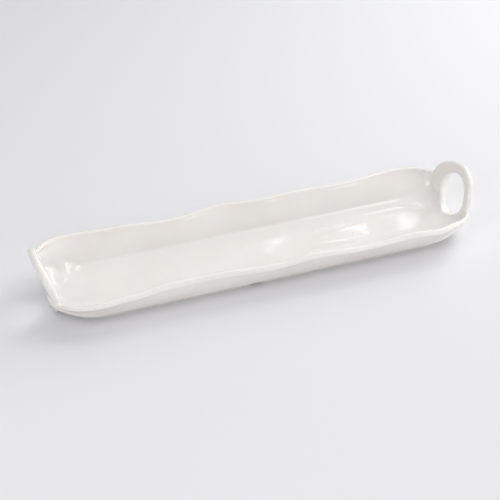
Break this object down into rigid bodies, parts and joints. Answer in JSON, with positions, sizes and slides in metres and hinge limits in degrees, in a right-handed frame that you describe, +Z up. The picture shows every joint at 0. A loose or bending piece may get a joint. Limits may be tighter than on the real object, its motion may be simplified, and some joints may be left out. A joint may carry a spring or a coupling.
{
  "type": "cracker tray",
  "caption": "Long, shallow glazed ceramic tray with leaning walls, a hand-pressed wavy rim, a ring handle with a finger hole at each end, and a low unglazed foot ring.",
  "frame": {"origin": "on the table, under the middle of the tray", "axes": "+X along the tray towards the right-hand handle, +Y across it towards the far side, +Z up"},
  "size_m": [0.3832, 0.1038, 0.0539],
  "materials": {
    "glaze": "clear gloss glaze over warm white clay",
    "biscuit": "matte, unglazed"
  },
  "bodies": {
    "root": {"tray_body": "glaze", "left_handle": "glaze", "right_handle": "glaze", "foot_ring": "biscuit"}
  },
  "joints": []
}
